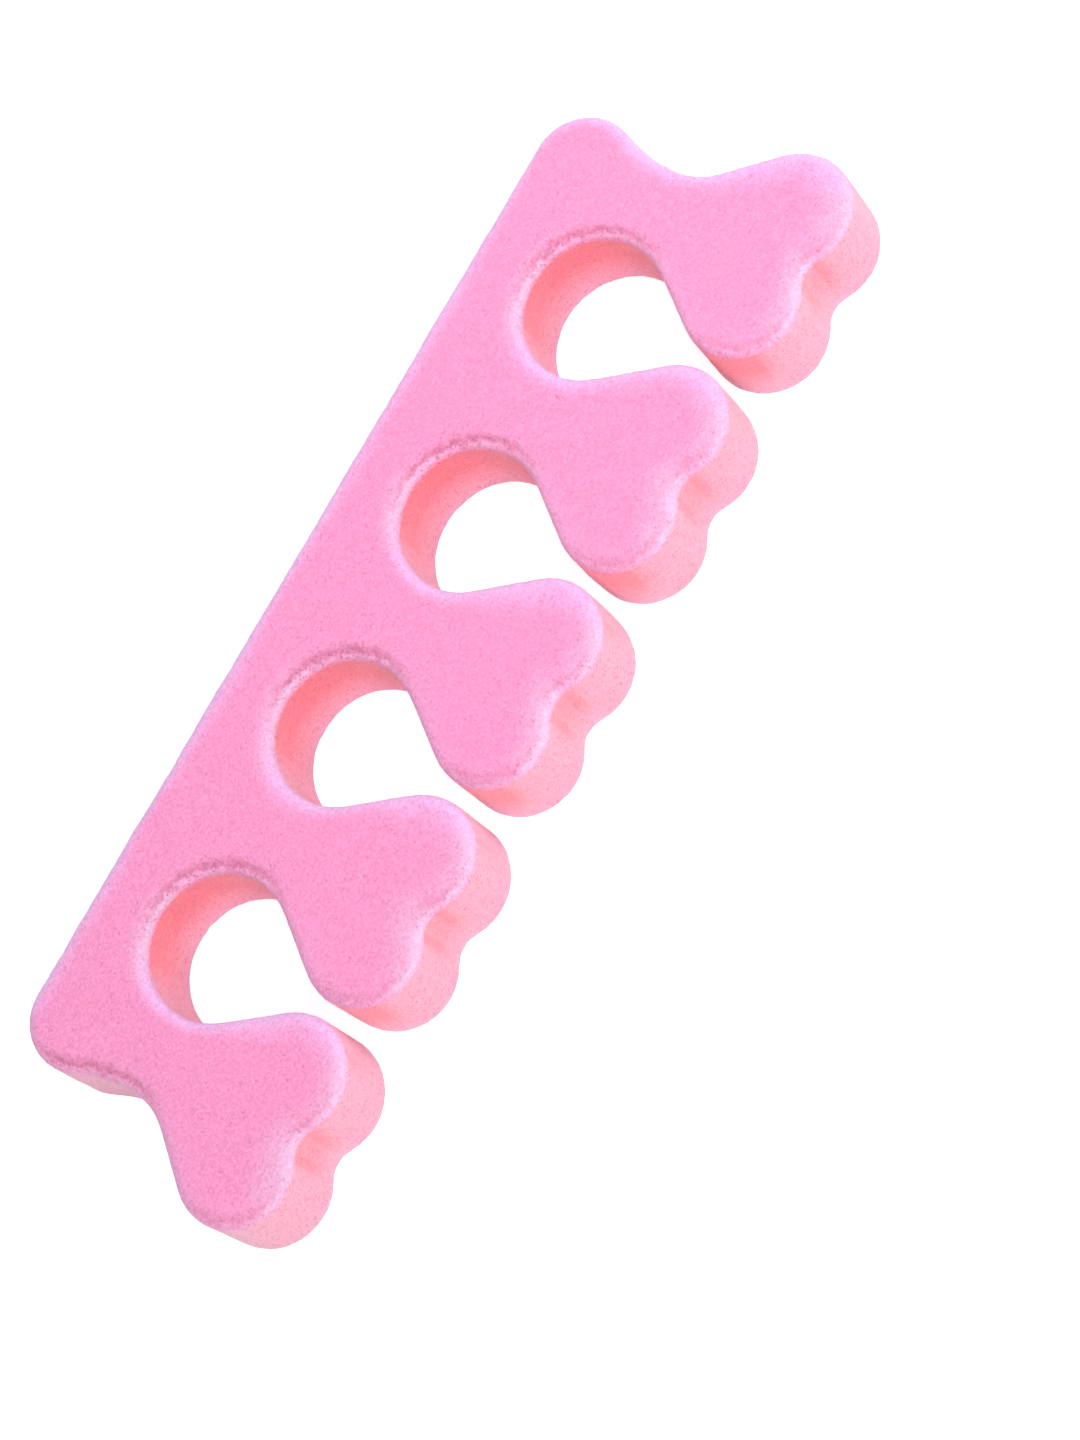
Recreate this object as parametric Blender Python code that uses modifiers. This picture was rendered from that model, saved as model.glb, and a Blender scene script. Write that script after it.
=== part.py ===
"""Foam toe separator: one piece of closed-cell foam, die cut from a flat sheet.

A straight spine carries a row of fingers. Each finger is a narrow neck that swells into a head
with two lobes and a shallow notch between them. The spaces between the fingers are round at the
spine, where the toes sit, and close to a narrow slot between the heads.

The piece lies flat on its large face. +X runs along the spine, the fingers point to -Y, and the
origin is on the underside, in the middle of the piece.
"""

from math import asin, atan2, ceil, cos, hypot, radians, sin, sqrt, tau

import bmesh
import bpy
from mathutils import Vector

# Driving dimensions, in metres
FINGER_COUNT = 5
FINGER_PITCH = 0.0195
THICKNESS = 0.009
EDGE_RADIUS = 0.0008

SPINE_WALL = 0.006      # foam between the back edge and a toe opening
TOE_RADIUS = 0.006      # round end of a toe opening
FLANK_LENGTH = 0.0057   # straight side of a finger, from the toe opening to the lobe

LOBE_RADIUS = 0.005
HEAD_GAP = 0.0014       # slot between two heads
NOTCH_RADIUS = 0.0021

END_NECK_HALF_WIDTH = 0.0032    # an end finger's neck is thinner on its outer side
SPINE_OVERHANG = 0.0017         # how far the spine's end stands out past that neck
CORNER_RADIUS = 0.0045

# Fineness of the faceted solid
ARC_STEP = radians(10)
EDGE_SEGMENTS = 3
MERGE_DISTANCE = 0.00001
FLAT_ANGLE = radians(1)
SHARP_ANGLE = radians(40)

# The foam's skin, its colour in linear RGB
FOAM_COLOR = (0.96, 0.38, 0.62, 1.0)
FOAM_ROUGHNESS = 0.9

# What follows from the dimensions. The lobes stand as far apart as the slots leave room for, and
# the flank is the straight line that touches a toe opening's circle and a lobe's circle.
LOBE_OFFSET = (FINGER_PITCH - HEAD_GAP) / 2 - LOBE_RADIUS
FLANK_REACH = hypot(TOE_RADIUS + LOBE_RADIUS, FLANK_LENGTH)
NECK_LENGTH = sqrt(FLANK_REACH ** 2 - (FINGER_PITCH / 2 - LOBE_OFFSET) ** 2)
DEPTH = SPINE_WALL + TOE_RADIUS + NECK_LENGTH + LOBE_RADIUS

BACK_Y = DEPTH / 2
NECK_Y = BACK_Y - SPINE_WALL - TOE_RADIUS
LOBE_Y = NECK_Y - NECK_LENGTH
END_AXIS_X = FINGER_PITCH * (FINGER_COUNT - 1) / 2


def clear_scene():
    for scene_object in list(bpy.data.objects):
        bpy.data.objects.remove(scene_object, do_unlink=True)


def new_collection(name):
    collection = bpy.data.collections.new(name)
    bpy.context.scene.collection.children.link(collection)
    return collection


def foam_material():
    material = bpy.data.materials.new("foam")
    material.use_nodes = True
    shader = material.node_tree.nodes["Principled BSDF"]
    shader.inputs["Base Color"].default_value = FOAM_COLOR
    shader.inputs["Roughness"].default_value = FOAM_ROUGHNESS
    shader.inputs["Metallic"].default_value = 0.0
    material.diffuse_color = FOAM_COLOR
    return material


# The outline is a belt that runs round a row of circles. A circle is (x, y, signed radius): the
# belt goes round a positive one anticlockwise, with foam inside it, and round a negative one
# clockwise, with foam outside it.

def head_circles(axis_x):
    """Two lobes, and between them the circle that rounds the notch and touches both."""
    notch_drop = sqrt((LOBE_RADIUS + NOTCH_RADIUS) ** 2 - LOBE_OFFSET ** 2)
    return [
        (axis_x - LOBE_OFFSET, LOBE_Y, LOBE_RADIUS),
        (axis_x, LOBE_Y - notch_drop, -NOTCH_RADIUS),
        (axis_x + LOBE_OFFSET, LOBE_Y, LOBE_RADIUS),
    ]


def end_circles():
    """The right-hand end, upwards from the head: neck, hollow shoulder and spine corner.

    The shoulder leaves the neck straight up at its thinnest and just touches the corner.
    """
    neck_x = END_AXIS_X + END_NECK_HALF_WIDTH
    corner_x = neck_x + SPINE_OVERHANG - CORNER_RADIUS
    corner_y = BACK_Y - CORNER_RADIUS
    rise = corner_y - NECK_Y
    shoulder_radius = (SPINE_OVERHANG ** 2 + rise ** 2) / (2 * SPINE_OVERHANG) - CORNER_RADIUS
    return [
        (neck_x + TOE_RADIUS, NECK_Y, -TOE_RADIUS),
        (neck_x + shoulder_radius, NECK_Y, -shoulder_radius),
        (corner_x, corner_y, CORNER_RADIUS),
    ]


def outline_circles():
    """Every circle of the outline, anticlockwise from the left end of the spine."""
    right_end = end_circles()
    circles = [(-x, y, radius) for x, y, radius in reversed(right_end)]
    for index in range(FINGER_COUNT):
        axis_x = index * FINGER_PITCH - END_AXIS_X
        circles += head_circles(axis_x)
        if index < FINGER_COUNT - 1:
            circles.append((axis_x + FINGER_PITCH / 2, NECK_Y, -TOE_RADIUS))
    return circles + right_end


def belt_heading(start, end):
    """Direction of the straight stretch of belt from one circle to the next."""
    run = Vector((end[0] - start[0], end[1] - start[1]))
    lean = (start[2] - end[2]) / run.length
    return atan2(run.y, run.x) + asin(max(-1.0, min(1.0, lean)))


def arc_points(circle, heading_in, heading_out):
    """Points where the belt lies on a circle and turns from one heading to the other."""
    x, y, radius = circle
    sense = 1 if radius > 0 else -1
    sweep = ((heading_out - heading_in) * sense) % tau
    steps = max(1, ceil(sweep / ARC_STEP))
    points = []
    for step in range(steps + 1):
        heading = heading_in + sense * sweep * step / steps
        points.append(Vector((x + radius * sin(heading), y - radius * cos(heading))))
    return points


def outline_points():
    circles = outline_circles()
    points = []
    for index, circle in enumerate(circles):
        heading_in = belt_heading(circles[index - 1], circle)
        heading_out = belt_heading(circle, circles[(index + 1) % len(circles)])
        arc = arc_points(circle, heading_in, heading_out)
        if points and (arc[0] - points[-1]).length < MERGE_DISTANCE:
            arc = arc[1:]
        points += arc
    return points


def outline_curve(points):
    """The cutting outline as a filled 2D curve, as thick as the foam sheet."""
    curve = bpy.data.curves.new("die_outline", "CURVE")
    curve.dimensions = "2D"
    curve.fill_mode = "BOTH"
    curve.extrude = THICKNESS / 2
    spline = curve.splines.new("POLY")
    spline.points.add(len(points) - 1)
    for spline_point, point in zip(spline.points, points):
        spline_point.co = (point.x, point.y, 0.0, 1.0)
    spline.use_cyclic_u = True
    outline = bpy.data.objects.new("die_outline", curve)
    outline.location.z = THICKNESS / 2
    return outline


def solid_from_curve(outline, name, collection):
    """A mesh of the cut sheet, its caps joined to its wall and each cap one flat face."""
    bpy.context.scene.collection.objects.link(outline)
    bpy.context.view_layer.update()
    depsgraph = bpy.context.evaluated_depsgraph_get()
    mesh = bpy.data.meshes.new_from_object(outline.evaluated_get(depsgraph))
    mesh.name = name
    mesh.transform(outline.matrix_world)
    bpy.data.objects.remove(outline, do_unlink=True)
    sheet = bmesh.new()
    sheet.from_mesh(mesh)
    bmesh.ops.remove_doubles(sheet, verts=sheet.verts, dist=MERGE_DISTANCE)
    bmesh.ops.dissolve_limit(sheet, angle_limit=FLAT_ANGLE, verts=sheet.verts, edges=sheet.edges)
    bmesh.ops.recalc_face_normals(sheet, faces=sheet.faces)
    sheet.to_mesh(mesh)
    sheet.free()
    solid = bpy.data.objects.new(name, mesh)
    collection.objects.link(solid)
    return solid


def round_rims(solid):
    """The soft rim that the die leaves round both faces."""
    rim = solid.modifiers.new("soft_rim", "BEVEL")
    rim.width = EDGE_RADIUS
    rim.segments = EDGE_SEGMENTS
    rim.limit_method = "ANGLE"
    rim.angle_limit = SHARP_ANGLE
    rim.use_clamp_overlap = False
    solid.data.shade_smooth()
    solid.data.set_sharp_from_angle(angle=SHARP_ANGLE)


def build():
    clear_scene()
    collection = new_collection("toe_separator")
    outline = outline_curve(outline_points())
    foam_body = solid_from_curve(outline, "foam_body", collection)
    foam_body.data.materials.append(foam_material())
    round_rims(foam_body)


build()
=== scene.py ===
# %% [markdown]
# # A foam toe separator
# The part on the bench is one piece of soft pink foam, stamped out of a flat sheet with a sharp
# outline die. It has no seams, screws or moving pieces, so all of its character is in three
# things: the outline, the soft rim that the die leaves, and the fine grain of the foam's cells.
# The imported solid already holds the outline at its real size. This script makes the fine surface
# around that solid, gives it a foam material, and sets up a pale studio to look at it.

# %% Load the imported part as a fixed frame
import math

import bmesh
import bpy
from mathutils import Matrix, Vector, noise
from mathutils.bvhtree import BVHTree


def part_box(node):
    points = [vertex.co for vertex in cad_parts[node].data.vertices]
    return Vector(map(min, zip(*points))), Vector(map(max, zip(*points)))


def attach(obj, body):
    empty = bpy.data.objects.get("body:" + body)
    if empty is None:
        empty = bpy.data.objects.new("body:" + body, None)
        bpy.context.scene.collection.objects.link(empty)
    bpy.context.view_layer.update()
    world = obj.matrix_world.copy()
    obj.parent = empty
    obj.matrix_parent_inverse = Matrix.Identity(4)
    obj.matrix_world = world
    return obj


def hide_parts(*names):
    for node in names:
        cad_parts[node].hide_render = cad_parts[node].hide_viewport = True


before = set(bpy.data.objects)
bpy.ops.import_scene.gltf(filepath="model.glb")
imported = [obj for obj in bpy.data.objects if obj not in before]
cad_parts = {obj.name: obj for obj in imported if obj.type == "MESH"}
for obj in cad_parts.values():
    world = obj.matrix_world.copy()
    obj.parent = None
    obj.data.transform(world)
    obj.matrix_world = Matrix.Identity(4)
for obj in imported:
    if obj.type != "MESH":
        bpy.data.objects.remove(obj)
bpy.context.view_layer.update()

TO_MM = 1000

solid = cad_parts["foam_body"]
low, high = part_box("foam_body")
thickness = high[2] - low[2]
mid_height = (low[2] + high[2]) / 2
print("Solid, in mm:", [round((b - a) * TO_MM, 2) for a, b in zip(low, high)])

# %% [markdown]
# ## The camera first
# The photograph looks down on the large face from the finger side, with the spine running from
# the lower left of the picture to the upper right. A camera can be written down as a target, a
# distance, and three angles. The last angle rolls the camera about its own line of sight, which
# is what lays the spine across the picture.

# %% Place the camera
VIEW_TARGET = (-0.0013, -0.0104, 0.0045)
VIEW_DISTANCE = 0.3357
VIEW_AZIMUTH = -101.0
VIEW_ELEVATION = 62.0
VIEW_ROLL = -50.0
VIEW_LENS = 107.5
VIEW_CLIP = 0.01


def add_camera():
    azimuth = math.radians(VIEW_AZIMUTH)
    elevation = math.radians(VIEW_ELEVATION)
    back = Vector((
        math.cos(elevation) * math.cos(azimuth),
        math.cos(elevation) * math.sin(azimuth),
        math.sin(elevation),
    ))
    bpy.ops.object.camera_add(location=Vector(VIEW_TARGET) + back * VIEW_DISTANCE)
    camera = bpy.context.object
    level = (-back).to_track_quat("-Z", "Y").to_matrix()
    roll = Matrix.Rotation(math.radians(VIEW_ROLL), 3, "Z")
    camera.rotation_euler = (level @ roll).to_euler()
    camera.data.lens = VIEW_LENS
    camera.data.clip_start = VIEW_CLIP
    bpy.context.scene.camera = camera
    return camera


camera = add_camera()
print("Camera at", [round(c, 3) for c in camera.location], "with a", VIEW_LENS, "mm lens")

# %% [markdown]
# ## A fine skin for the foam
# The solid is a faceted model: its arcs are short straight runs, and its two faces are long, thin
# triangles. Foam needs an even mesh that can dip, swell and pit anywhere. A voxel remesh gives
# that: it fills the shape with small cubes and draws a fresh, even net of four-sided faces
# around them. We work on a copy, because the solid itself stays as it is, and we merge the
# copy's loose triangles first so that the remesh sees one closed shape.

# %% Copy the solid
MERGE_DISTANCE = 0.000001


def only_select(piece):
    bpy.ops.object.select_all(action="DESELECT")
    piece.select_set(True)
    bpy.context.view_layer.objects.active = piece


def copy_of_solid():
    only_select(solid)
    bpy.ops.object.duplicate()
    piece = bpy.context.object
    piece.name = "foam_skin"
    bpy.ops.object.mode_set(mode="EDIT")
    bpy.ops.mesh.select_all(action="SELECT")
    bpy.ops.mesh.remove_doubles(threshold=MERGE_DISTANCE)
    bpy.ops.object.mode_set(mode="OBJECT")
    return piece


foam = copy_of_solid()
print("Merged copy of the solid:", len(foam.data.vertices), "points")

# %% Remesh the copy
VOXEL = 0.0003


def apply_last_modifier(piece):
    bpy.ops.object.modifier_apply(modifier=piece.modifiers[-1].name)


def remesh(piece, voxel):
    bpy.ops.object.modifier_add(type="REMESH")
    piece.modifiers[-1].mode = "VOXEL"
    piece.modifiers[-1].voxel_size = voxel
    apply_last_modifier(piece)


remesh(foam, VOXEL)
print("Remeshed foam:", len(foam.data.vertices), "points,", len(foam.data.polygons), "faces")

# %% [markdown]
# ## Soften it
# The remesh still shows the facets of the solid. A Smooth modifier moves each point a little
# towards its neighbours. A few rounds of it melt the facets into true curves and make the rim
# as soft as foam, and the flat faces stay flat because their neighbours lie in the same plane.

# %% Smooth the facets away
SMOOTH_FACTOR = 0.5
SMOOTH_ROUNDS = 6


def size_in_mm(piece):
    sides = []
    for axis in range(3):
        places = [vertex.co[axis] for vertex in piece.data.vertices]
        sides.append(round((max(places) - min(places)) * TO_MM, 2))
    return sides


def smooth(piece, factor, rounds):
    bpy.ops.object.modifier_add(type="SMOOTH")
    piece.modifiers[-1].factor = factor
    piece.modifiers[-1].iterations = rounds
    apply_last_modifier(piece)


smooth(foam, SMOOTH_FACTOR, SMOOTH_ROUNDS)
print("Smoothed foam, in mm:", size_in_mm(foam))

# %% [markdown]
# ## How far is each point from the cut?
# A steel-rule die squeezes foam before it cuts through, and it drags the foam along as it leaves.
# To model what that does to the rims, we need to know two things about every point: how far it
# lies from the cut wall, and which way that wall faces. A search tree over the solid's upright
# faces answers both: we ask it for the nearest wall at half height.

# %% Measure the distance to the cut wall
UPRIGHT = 0.2


def wall_tree():
    walls = bmesh.new()
    walls.from_mesh(solid.data)
    lying = [face for face in walls.faces if abs(face.normal.z) > UPRIGHT]
    bmesh.ops.delete(walls, geom=lying, context="FACES")
    tree = BVHTree.FromBMesh(walls)
    walls.free()
    return tree


walls = wall_tree()
nearest = []
for vertex in foam.data.vertices:
    nearest.append(walls.find_nearest(Vector((vertex.co.x, vertex.co.y, mid_height))))
facings = [facing for place, facing, index, distance in nearest]
distances = [distance for place, facing, index, distance in nearest]
print("Widest stretch of face is", round(max(distances) * 2 * TO_MM, 1), "mm across")

# %% [markdown]
# ## Tell the faces from the walls
# What the die does to the rims shows on the two large faces, and the walls are plain cut foam.
# The upright part of a point's normal tells the two apart: it is near one on a face and near
# zero on a wall. A soft ramp between them carries the paint over the rounded edge.

# %% Give every point its share of face
FACE_START = 0.05
FACE_FULL = 0.3
HALF = 0.5


def ramp(value, start, full):
    share = min(1.0, max(0.0, (value - start) / (full - start)))
    return share * share * (3 - 2 * share)


def mostly(shares):
    return sum(share > HALF for share in shares)


on_face = [ramp(abs(vertex.normal.z), FACE_START, FACE_FULL) for vertex in foam.data.vertices]
print("Points on the two faces:", mostly(on_face))

# %% [markdown]
# ## Roll the rim over and paint its highlight
# On most of the outline the rim rolls over smoothly, and its pale colour is a painted highlight
# where the rounded edge catches the light. Two ramps make it: a wide one for the rolled foam, and
# a narrow one for the lip at the very edge. The rim is wide on the heads and narrower on the spine,
# its width wanders a little, its painted highlight fades where it faces -X, away from the light,
# and it is fainter on the underside.

# %% Give every point its share of rim
RIM_WIDTH = 0.0032
RIM_SPREAD = 0.5
RIM_SPREAD_SIZE = 0.007
SPINE_RIM = 0.6
ARCH_START = -0.007
ARCH_FULL = -0.001
LIP_WIDTH = 0.0013
ROLL_SHARE = 0.7
LIP_SHARE = 0.3
AWAY_START = 0.1
AWAY_FULL = 0.7
ROLL_LOST = 0.8
LIP_LOST = 0.3
RIM_BELOW = 0.4


def rim_share(vertex, distance, facing):
    width = RIM_WIDTH * (1 + RIM_SPREAD * noise.noise(vertex.co / RIM_SPREAD_SIZE))
    width *= 1 + (SPINE_RIM - 1) * ramp(vertex.co.y, ARCH_START, ARCH_FULL)
    # The rim's pale paint is a painted highlight: it mostly fades where the rim faces -X, away from
    # the light, and is fainter underneath.
    away = ramp(-facing.x, AWAY_START, AWAY_FULL)
    rolled = ROLL_SHARE * ramp(distance, width, 0.0) * (1 - ROLL_LOST * away)
    lip = LIP_SHARE * ramp(distance, LIP_WIDTH, 0.0) * (1 - LIP_LOST * away)
    side = 1.0 if vertex.co.z > mid_height else RIM_BELOW
    return (rolled + lip) * side


rim = []
for vertex, distance, facing, face in zip(foam.data.vertices, distances, facings, on_face):
    rim.append(face * rim_share(vertex, distance, facing))
print("Points on the pale rim:", mostly(rim))

# %% [markdown]
# ## Cool or rosy?
# The rim's painted highlight isn't one colour all the way round. It is a cool lavender where the
# rim faces back and to the +X end, and rosier where it faces the fingers' side and the -X end. The
# direction of the nearest wall is enough to tell.

# %% Give every point its share of coolness
COOL_TOWARDS = Vector((0.6, 0.8, 0.0))
COOL_START = -0.6
COOL_FULL = 0.4

cool = [ramp(facing.dot(COOL_TOWARDS), COOL_START, COOL_FULL) for facing in facings]
print("Points nearest to a wall with a cool rim:", mostly(cool))

# %% [markdown]
# ## Where the die dragged the foam
# On the side that the die leaned towards, the rim is dragged into a thin lip with a rough groove
# behind it. It is strongest round the tight arches of the toe openings, and half as strong on the
# heads. A bell curve over the distance from the cut puts the groove just behind the lip. The same
# share later darkens the line behind the lip, as painted shade in the crease, and sets pale flecks
# there as painted highlights.

# %% Give every point its share of groove
DRAG_TOWARDS = Vector((-0.74, -0.67, 0.0))
DRAG_START = 0.2
DRAG_FULL = 0.95
HEAD_DRAG = 0.5
GROOVE_AT = 0.0006
GROOVE_WIDTH = 0.00035


def drag_share(vertex, facing):
    leaned = ramp(facing.dot(DRAG_TOWARDS), DRAG_START, DRAG_FULL)
    return leaned * (HEAD_DRAG + (1 - HEAD_DRAG) * ramp(vertex.co.y, ARCH_START, ARCH_FULL))


def bell(distance, centre, width):
    return math.exp(-((distance - centre) / width) ** 2)


drag_and_shade = []
for vertex, facing, face in zip(foam.data.vertices, facings, on_face):
    drag_and_shade.append(face * drag_share(vertex, facing))
groove = [drag * bell(distance, GROOVE_AT, GROOVE_WIDTH) for drag, distance in zip(drag_and_shade, distances)]
print("Points in the groove:", mostly(groove))

# %% [markdown]
# ## Which walls look into a hollow?
# Inside a toe opening the light bounces from wall to wall and through the thin foam, and comes
# out warm and rosy. The material paints that light into the walls' colour: a wall in a hollow is
# painted warm and rosy, and a wall that faces open air is painted pale. To tell the two apart we
# stand on the wall and look straight out and to both sides: each look that meets another wall soon
# adds to the point's share of hollow.

# %% Look out from every wall
HOLLOW_TURNS = range(-75, 76, 10)
HOLLOW_REACH = 0.016
HOLLOW_FALL = 3
HOLLOW_FULL = 0.15
NEAR_WALL = 0.0015
STEP_OUT = 0.0001
LEANING = 0.3


def hollow_share(vertex, place, facing):
    outward = Vector((vertex.normal.x, vertex.normal.y, 0.0))
    if outward.length > LEANING:
        facing = outward.normalized()
    start = place + facing * STEP_OUT
    share = 0.0
    for turn in HOLLOW_TURNS:
        look = Matrix.Rotation(math.radians(turn), 3, "Z") @ facing
        hit, hit_facing, index, distance = walls.ray_cast(start, look, HOLLOW_REACH)
        if hit is not None:
            share += (1 - distance / HOLLOW_REACH) ** HOLLOW_FALL / len(HOLLOW_TURNS)
    return ramp(share, 0.0, HOLLOW_FULL)


hollow = [0.0] * len(nearest)
for vertex, (place, facing, index, distance) in zip(foam.data.vertices, nearest):
    if distance < NEAR_WALL:
        hollow[vertex.index] = hollow_share(vertex, place, facing)
print("Points on walls inside hollows:", mostly(hollow))

# %% [markdown]
# ## Where painted light pales the hollows
# A hollow wall that faces +X looks into the brightest light, so it is painted paler than the one
# across from it: the paler paint stands for that light. Its share of painted warmth is its share of
# hollow with most of it taken away.

# %% Give every point its share of warmth
LIT_START = 0.5
LIT_FULL = 0.9
LIT_LOSS = 0.7

lit = [ramp(facing.x, LIT_START, LIT_FULL) for facing in facings]
warm = [deep * (1 - LIT_LOSS * share) for deep, share in zip(hollow, lit)]
print("Points on warm walls:", mostly(warm))

# %% [markdown]
# ## Press the groove
# A vertex group holds the groove as a soft bump of weight. A Displace modifier with no texture
# moves points straight along their normals by that weight, which here is down into the foam.

# %% Press the groove
GROOVE_DEPTH = 0.00025


def add_group(piece, name, weights):
    group = piece.vertex_groups.new(name=name)
    for index, weight in enumerate(weights):
        group.add([index], weight, "REPLACE")


def displace(piece, strength, group=None, texture=None, mid_level=0.0):
    bpy.ops.object.modifier_add(type="DISPLACE")
    modifier = piece.modifiers[-1]
    modifier.strength = strength
    modifier.mid_level = mid_level
    modifier.texture_coords = "LOCAL"
    if group is not None:
        modifier.vertex_group = group
    if texture is not None:
        modifier.texture = texture
    apply_last_modifier(piece)


add_group(foam, "groove", groove)
displace(foam, -GROOVE_DEPTH, group="groove")
print("Groove pressed by up to", GROOVE_DEPTH * TO_MM, "mm")

# %% [markdown]
# ## Let the sheet swell
# Sheet foam is never dead flat. A wide, faint cloud texture makes both faces and the walls swell
# and sink by a few hundredths of a millimetre. Its middle grey leaves a point where it is.

# %% Swell the faces and the walls
SWELL_SIZE = 0.006
SWELL = 0.00018
MIDDLE_GREY = 0.5
CLOUD_DEPTH = 2


def cloud_texture(name, size):
    texture = bpy.data.textures.new(name, "CLOUDS")
    texture.noise_scale = size
    texture.noise_depth = CLOUD_DEPTH
    return texture


displace(foam, SWELL, texture=cloud_texture("swell", SWELL_SIZE), mid_level=MIDDLE_GREY)
print("Swollen foam, in mm:", size_in_mm(foam))

# %% [markdown]
# ## Tear the groove and roughen the rest
# The die tears cells open in the groove, so a finer texture digs small pits there and throws up
# small crumbs, and the groove's group keeps them in place. A trace of the same texture roughens
# the rim. A last, still fainter one makes the grain all over.

# %% Dig the pits and the grain
PIT_SIZE = 0.0006
PIT_DEPTH = 0.0006
RIM_PIT_DEPTH = 0.0001
GRAIN_SIZE = 0.0005
GRAIN_DEPTH = 0.00005

add_group(foam, "rim", rim)
pits = cloud_texture("pits", PIT_SIZE)
displace(foam, PIT_DEPTH, group="groove", texture=pits, mid_level=MIDDLE_GREY)
displace(foam, RIM_PIT_DEPTH, group="rim", texture=pits, mid_level=MIDDLE_GREY)
displace(foam, GRAIN_DEPTH, texture=cloud_texture("grain", GRAIN_SIZE), mid_level=MIDDLE_GREY)
foam.vertex_groups.clear()
bpy.ops.object.shade_smooth()
print("Rough foam, in mm:", size_in_mm(foam))

# %% [markdown]
# ## What the material needs to know
# The material paints the rolled rim paler, as a painted highlight, the torn groove darker, as
# painted shade in the crease, and the walls in the hollows warmer than the faces, as painted
# bounced light. It reads seven attributes that are stored on the mesh, so the paint stays on the
# foam from every side. One of them, the inset, is the distance from the cut in mm: from it the
# material can draw a line much finer than the mesh.

# %% Store the shares as attributes


def store_attribute(piece, name, values):
    attribute = piece.data.attributes.new(name, "FLOAT", "POINT")
    attribute.data.foreach_set("value", values)
    print("Stored", name, "from", round(min(values), 2), "to", round(max(values), 2))


store_attribute(foam, "rim", rim)
store_attribute(foam, "cool", cool)
store_attribute(foam, "drag_and_shade", drag_and_shade)
store_attribute(foam, "cut", [1.0 - face for face in on_face])
store_attribute(foam, "hollow", hollow)
store_attribute(foam, "warm", warm)
store_attribute(foam, "inset", [distance * TO_MM for distance in distances])

# %% [markdown]
# ## The foam material
# Closed-cell foam is a crowd of tiny thin-walled bubbles. Light goes in, bounces about and comes
# out again, so it looks soft and slightly glowing, and it has no gloss. A rough surface with a
# little scattering and a pale sheen does that. The colour is then built up in layers, one cell
# each, and every layer mixes over the last one.

# %% Start the foam material
FOAM_FINISH = {
    "Roughness": 0.9,
    "Specular IOR Level": 0.25,
    "Subsurface Weight": 0.3,
    "Subsurface Radius": (1.0, 0.35, 0.40),
    "Subsurface Scale": 0.004,
    "Sheen Weight": 0.4,
    "Sheen Roughness": 0.5,
    "Sheen Tint": (1.0, 0.85, 0.97, 1.0),
}

pink_foam = bpy.data.materials.new("pink_foam")
pink_foam.use_nodes = True
nodes = pink_foam.node_tree.nodes
links = pink_foam.node_tree.links
shader = nodes["Principled BSDF"]
for socket_name, value in FOAM_FINISH.items():
    shader.inputs[socket_name].default_value = value
foam.data.materials.clear()
foam.data.materials.append(pink_foam)
print("Finish of", pink_foam.name, "set on", len(FOAM_FINISH), "sockets")

# %% [markdown]
# ## Small tools for nodes
# Wiring nodes by hand takes four or five lines each time, so each kind that we use often gets a
# helper that adds the node and gives back its output. The output of one goes straight into the
# next. The noise reads Object coordinates in metres, so a scale of 3000 makes specks of about a
# third of a millimetre.

# %% Make helpers for the nodes that read
CELL_DETAIL = 2.0
CELL_ROUGHNESS = 0.6

where = nodes.new("ShaderNodeTexCoord").outputs["Object"]


def attribute(name):
    node = nodes.new("ShaderNodeAttribute")
    node.attribute_name = name
    return node.outputs["Fac"]


def cells(scale, detail=CELL_DETAIL):
    node = nodes.new("ShaderNodeTexNoise")
    node.inputs["Scale"].default_value = scale
    node.inputs["Detail"].default_value = detail
    node.inputs["Roughness"].default_value = CELL_ROUGHNESS
    links.new(where, node.inputs["Vector"])
    return node.outputs["Fac"]


# %% [markdown]
# A value may be a plain number or colour, or the output of another node, and plug takes either. A
# Mix node has sockets for every kind of value: its factor is at place 0, its two colours are at 6
# and 7, and its mixed colour comes out at 2. Many layers rise from nothing to full or fall back,
# so both of those ranges get a name.

# %% Make helpers for the nodes that reckon
RISE = (0.0, 1.0)
FALL = (1.0, 0.0)
MIX_INPUTS = (0, 6, 7)
MIX_OUTPUT = 2


def remap(value, source, target):
    node = nodes.new("ShaderNodeMapRange")
    node.inputs["From Min"].default_value = source[0]
    node.inputs["From Max"].default_value = source[1]
    node.inputs["To Min"].default_value = target[0]
    node.inputs["To Max"].default_value = target[1]
    links.new(value, node.inputs["Value"])
    return node.outputs["Result"]


def plug(value, socket):
    if isinstance(value, bpy.types.NodeSocket):
        links.new(value, socket)
    else:
        socket.default_value = value


def reckon(operation, first, second):
    node = nodes.new("ShaderNodeMath")
    node.operation = operation
    plug(first, node.inputs[0])
    plug(second, node.inputs[1])
    return node.outputs["Value"]


def mix(factor, first, second, blend="MIX"):
    node = nodes.new("ShaderNodeMix")
    node.data_type = "RGBA"
    node.blend_type = blend
    for value, index in zip((factor, first, second), MIX_INPUTS):
        plug(value, node.inputs[index])
    return node.outputs[MIX_OUTPUT]


# %% [markdown]
# ## First layer: faces, and walls in painted light
# The faces are one even pink. The walls' colours are painted light: they stand for the warm
# light that bounces between the walls and shines through the thin foam. A wall in open air is
# painted a little paler, and a wall in a hollow is painted paler still, as a glow. Over that, the
# warm walls are painted coral towards the top, as bounced light, and keep the painted glow at
# their feet, where the white table lights them.

# %% Paint the faces and the walls
FACE_COLOR = (0.885, 0.312, 0.565, 1.0)
WALL_PALE = (0.900, 0.390, 0.520, 1.0)
WALL_GLOW = (1.000, 0.500, 0.660, 1.0)
WALL_WARM_BOUNCE = (1.000, 0.250, 0.300, 1.0)
WARM_START = thickness * 0.05
WARM_FULL = thickness * 0.6

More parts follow.
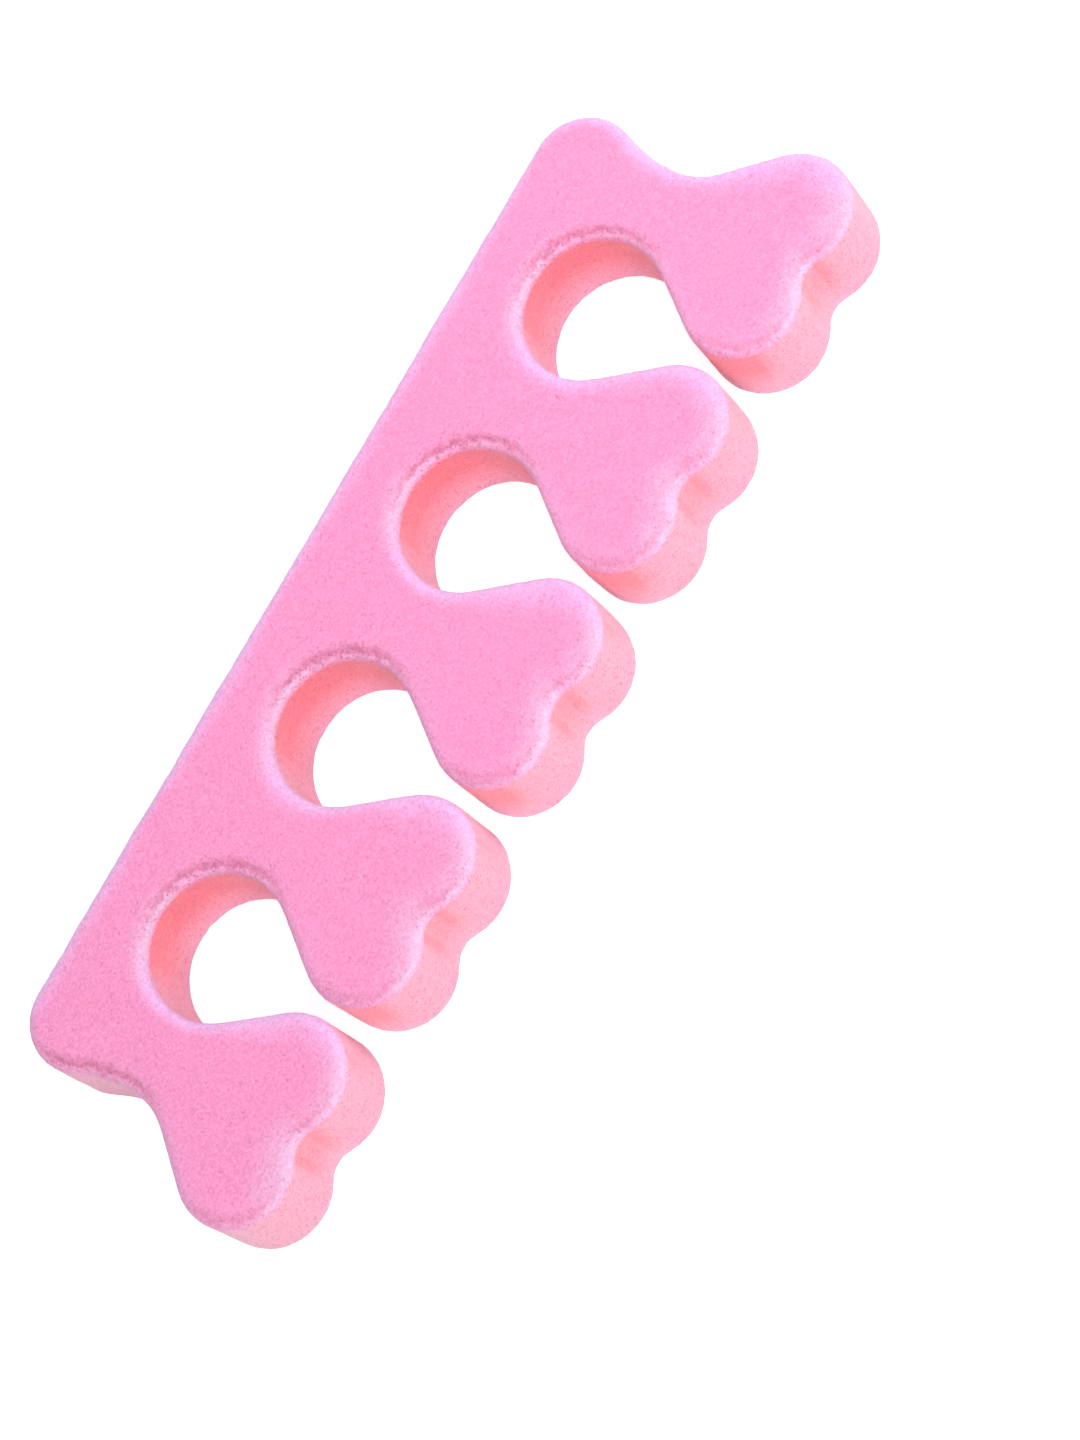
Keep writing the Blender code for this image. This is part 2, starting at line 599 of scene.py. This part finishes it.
split = nodes.new("ShaderNodeSeparateXYZ")
links.new(where, split.inputs["Vector"])
high_up = remap(split.outputs["Z"], (WARM_START, WARM_FULL), RISE)
# Painted light: hollow walls get a painted glow, and warm walls get painted coral bounce light above
# the painted glow at their feet.
wall = mix(attribute("hollow"), WALL_PALE, WALL_GLOW)
wall = mix(reckon("MULTIPLY", attribute("warm"), high_up), wall, WALL_WARM_BOUNCE)
color = mix(attribute("cut"), FACE_COLOR, wall)
print("Walls are fully warm from", round(WARM_FULL * TO_MM, 1), "mm up")

# %% [markdown]
# ## Second layer: the painted rim highlight
# The rim's pale paint is a painted highlight. The rolled rim catches the light in patches, so a
# coarse noise thins its paint here and there.

# %% Paint the rim highlight
RIM_HIGHLIGHT_COOL = (0.830, 0.520, 0.900, 1.0)
RIM_HIGHLIGHT_ROSY = (0.780, 0.520, 0.730, 1.0)
PATCH_SCALE = 700.0
PATCH_NOISE = (0.35, 0.65)
PATCH_SHARE = (0.8, 1.0)

# Painted highlight on the rolled rim, cool lavender or rosy by which way the rim faces.
rim_highlight_color = mix(attribute("cool"), RIM_HIGHLIGHT_ROSY, RIM_HIGHLIGHT_COOL)
patches = remap(cells(PATCH_SCALE), PATCH_NOISE, PATCH_SHARE)
color = mix(reckon("MULTIPLY", attribute("rim"), patches), color, rim_highlight_color)
print("Rim patches are about", round(TO_MM / PATCH_SCALE, 1), "mm wide")

# %% [markdown]
# ## Third layer: the shaded line behind the lip
# The groove shows as a thin, broken, darker line; its darker colour is painted shade that stands
# for the crease behind the lip. The inset says how far from the cut we are, and a noise is added to
# it so that the line wanders. The line starts behind the lip, is full for a short way, and fades
# out. A fine noise breaks it up.

# %% Paint the torn line's shade
GROOVE_SHADE_COLOR = (0.680, 0.205, 0.370, 1.0)
WANDER_SCALE = 900.0
WANDER_NOISE = (0.3, 0.7)
WANDER_MM = (-0.25, 0.25)
LINE_RISE_MM = (0.20, 0.50)
LINE_FADE_MM = (0.70, 1.40)
TORN_SCALE = 3600.0
TORN_NOISE = (0.40, 0.62)
TORN_SHARE = (0.60, 1.0)

wander = remap(cells(WANDER_SCALE), WANDER_NOISE, WANDER_MM)
inset = reckon("ADD", attribute("inset"), wander)
rising = remap(inset, LINE_RISE_MM, RISE)
fading = remap(inset, LINE_FADE_MM, FALL)
line = reckon("MULTIPLY", reckon("MULTIPLY", rising, fading), attribute("drag_and_shade"))
torn_and_shaded = reckon("MULTIPLY", line, remap(cells(TORN_SCALE), TORN_NOISE, TORN_SHARE))
# Painted shade: the darker line stands for the shade in the crease behind the lip.
color = mix(torn_and_shaded, color, GROOVE_SHADE_COLOR)
print("Torn line from", LINE_RISE_MM[0], "to", LINE_FADE_MM[1], "mm behind the cut")

# %% [markdown]
# ## Fourth layer: highlight flecks
# Where the foam was dragged, small torn skins of cells catch the light. The pale flecks are painted
# highlights for that glint, thickest at the cut and gone a little way in.

# %% Paint the highlight flecks
FLECK_HIGHLIGHT_COLOR = (0.950, 0.620, 0.880, 1.0)
ROUGH_FADE_MM = (0.5, 2.4)
FLECK_SCALE = 3000.0
FLECK_NOISE = (0.54, 0.70)
FLECK_SHARE = (0.0, 0.22)

rough = reckon("MULTIPLY", attribute("drag_and_shade"), remap(inset, ROUGH_FADE_MM, FALL))
fleck_highlights = reckon("MULTIPLY", rough, remap(cells(FLECK_SCALE), FLECK_NOISE, FLECK_SHARE))
# Painted highlights: pale flecks where torn cell skins catch the light.
color = mix(fleck_highlights, color, FLECK_HIGHLIGHT_COLOR)
print("Flecks end", ROUGH_FADE_MM[1], "mm behind the cut")

# %% [markdown]
# ## Fifth layer: pores
# Here and there a cut cell stands open as a dark dot. A Voronoi texture has one centre per cell,
# and the distance to it makes a round dot. A noise chooses which cells are open: few on the
# smooth faces, more on the cut walls and in the dragged foam, where they are darker too.

# %% Paint the pores
PORE_COLOR = (0.72, 0.15, 0.32, 1.0)
PORE_SCALE = 3400.0
PORE_EDGE = (0.15, 0.4)
CHANCE_SCALE = 1600.0
CHANCE_NOISE = (0.52, 0.66)
CHANCE_MORE = 0.15
PORE_SHARE = (0.40, 0.75)

pores = nodes.new("ShaderNodeTexVoronoi")
pores.inputs["Scale"].default_value = PORE_SCALE
links.new(where, pores.inputs["Vector"])
dot = remap(pores.outputs["Distance"], PORE_EDGE, FALL)
open_cells = reckon("ADD", rough, attribute("cut"))
chance = reckon("ADD", cells(CHANCE_SCALE), reckon("MULTIPLY", open_cells, CHANCE_MORE))
pore = reckon("MULTIPLY", dot, remap(chance, CHANCE_NOISE, RISE))
pore_paint = reckon("MULTIPLY", pore, remap(open_cells, RISE, PORE_SHARE))
color = mix(pore_paint, color, PORE_COLOR)
print("Pores lie about", round(TO_MM / PORE_SCALE, 1), "mm apart")

# %% [markdown]
# ## Last layer: the grain
# The cells' walls make a fine grain of light and dark over everything. The green of the pink
# varies most and the red least, because the red is nearly full already. A coarser, very faint
# mottle goes under it.

# %% Shade the grain
GRAIN_SCALE = 4200.0
GRAIN_DETAIL = 3.0
GRAIN_NOISE = (0.3, 0.7)
GRAIN_SHADES = ((0.88, 1.08), (0.76, 1.16), (0.80, 1.12))
MOTTLE_SCALE = 1100.0
MOTTLE_SHADES = (0.98, 1.02)

grain = cells(GRAIN_SCALE, GRAIN_DETAIL)
mottle = remap(cells(MOTTLE_SCALE), GRAIN_NOISE, MOTTLE_SHADES)
shade = nodes.new("ShaderNodeCombineColor")
for socket, shades in zip(shade.inputs, GRAIN_SHADES):
    links.new(reckon("MULTIPLY", remap(grain, GRAIN_NOISE, shades), mottle), socket)
color = mix(1.0, color, shade.outputs["Color"], "MULTIPLY")
links.new(color, shader.inputs["Base Color"])
print("Grain is about", round(TO_MM / GRAIN_SCALE, 2), "mm wide")

# %% [markdown]
# ## Relief
# The same grain stands up a little, and the pores and the torn line sink. Their relief is finer
# than the mesh, so a Bump node tilts the light on it and no point moves.

# %% Raise the grain
PORE_SINK = 0.8
RELIEF_STRENGTH = 0.6
RELIEF_HEIGHT = 0.00012

sunk = reckon("ADD", reckon("MULTIPLY", pore, PORE_SINK), torn_and_shaded)
relief = nodes.new("ShaderNodeBump")
relief.inputs["Strength"].default_value = RELIEF_STRENGTH
relief.inputs["Distance"].default_value = RELIEF_HEIGHT
links.new(reckon("SUBTRACT", grain, sunk), relief.inputs["Height"])
links.new(relief.outputs["Normal"], shader.inputs["Normal"])
print("The foam material has", len(nodes), "nodes")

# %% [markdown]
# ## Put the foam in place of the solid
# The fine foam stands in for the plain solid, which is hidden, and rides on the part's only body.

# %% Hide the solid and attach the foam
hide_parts("foam_body")
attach(foam, "root")
print("Foam skin:", sum(len(p.vertices) - 2 for p in foam.data.polygons), "triangles")

# %% [markdown]
# ## The studio floor
# The part lies on a wide pale floor that keeps its soft shadow. The floor adds a little white for
# the camera's eye alone, so it looks like paper but throws no extra light on the foam.

# %% Lay the floor
FLOOR_SIZE = 3.0
FLOOR_GAP = 0.0002
PAPER_COLOR = (0.95, 0.95, 0.95, 1.0)
PAPER_GLOW = 0.65


def paper_material():
    material = bpy.data.materials.new("white_paper")
    material.use_nodes = True
    nodes = material.node_tree.nodes
    links = material.node_tree.links
    shader = nodes["Principled BSDF"]
    shader.inputs["Base Color"].default_value = PAPER_COLOR
    shader.inputs["Roughness"].default_value = 1.0
    shader.inputs["Specular IOR Level"].default_value = 0.0
    glow = nodes.new("ShaderNodeEmission")
    glow.inputs["Strength"].default_value = PAPER_GLOW
    dark = nodes.new("ShaderNodeEmission")
    dark.inputs["Strength"].default_value = 0.0
    path = nodes.new("ShaderNodeLightPath")
    seen = nodes.new("ShaderNodeMixShader")
    links.new(path.outputs["Is Camera Ray"], seen.inputs[0])
    links.new(dark.outputs[0], seen.inputs[1])
    links.new(glow.outputs[0], seen.inputs[2])
    both = nodes.new("ShaderNodeAddShader")
    links.new(shader.outputs[0], both.inputs[0])
    links.new(seen.outputs[0], both.inputs[1])
    links.new(both.outputs[0], nodes["Material Output"].inputs["Surface"])
    return material


bpy.ops.mesh.primitive_plane_add(size=FLOOR_SIZE, location=(0, 0, low[2] - FLOOR_GAP))
floor = bpy.context.object
floor.name = "floor"
floor.data.materials.append(paper_material())
print("Floor laid", FLOOR_GAP * TO_MM, "mm under the part")

# %% [markdown]
# ## Three lamps
# All three are soft square panels that look at the part. One hangs close over the +X end and
# leaves the other end a little darker. The strongest stands on the finger side, where it looks
# into the toe openings. A weak one stands behind the spine.

# %% Hang the lamps
KEY_PLACE = (0.12, -0.02, 0.16)
KEY_SIZE = 0.14
KEY_POWER = 0.21
FILL_PLACE = (-0.12, -0.33, 0.38)
FILL_SIZE = 0.4
FILL_POWER = 2.2
BACK_PLACE = (0.08, 0.24, 0.15)
BACK_SIZE = 0.2
BACK_POWER = 0.20


def add_lamp(place, size, power):
    bpy.ops.object.light_add(type="AREA", location=place)
    lamp = bpy.context.object
    lamp.data.size = size
    lamp.data.energy = power
    lamp.rotation_euler = Vector(place).to_track_quat("Z", "Y").to_euler()
    print("Lamp of", power, "W,", round(Vector(place).length, 2), "m away")


add_lamp(KEY_PLACE, KEY_SIZE, KEY_POWER)
add_lamp(FILL_PLACE, FILL_SIZE, FILL_POWER)
add_lamp(BACK_PLACE, BACK_SIZE, BACK_POWER)

# %% [markdown]
# ## An even sky
# A grey sky fills the shadows from all around. The camera alone sees it as plain white, so the
# picture has a white background and the foam gets no more light from it.

# %% Light the sky
SKY = 0.235
WHITE = (1.0, 1.0, 1.0, 1.0)


def light_sky():
    world = bpy.data.worlds.new("studio")
    bpy.context.scene.world = world
    world.use_nodes = True
    nodes = world.node_tree.nodes
    links = world.node_tree.links
    sky = nodes["Background"]
    sky.inputs["Strength"].default_value = SKY
    white = nodes.new("ShaderNodeBackground")
    for background in (sky, white):
        background.inputs["Color"].default_value = WHITE
    path = nodes.new("ShaderNodeLightPath")
    seen = nodes.new("ShaderNodeMixShader")
    links.new(path.outputs["Is Camera Ray"], seen.inputs[0])
    links.new(sky.outputs[0], seen.inputs[1])
    links.new(white.outputs[0], seen.inputs[2])
    links.new(seen.outputs[0], nodes["World Output"].inputs["Surface"])


light_sky()
bpy.context.scene.view_settings.view_transform = "Standard"
print("Sky at", SKY, "of white")
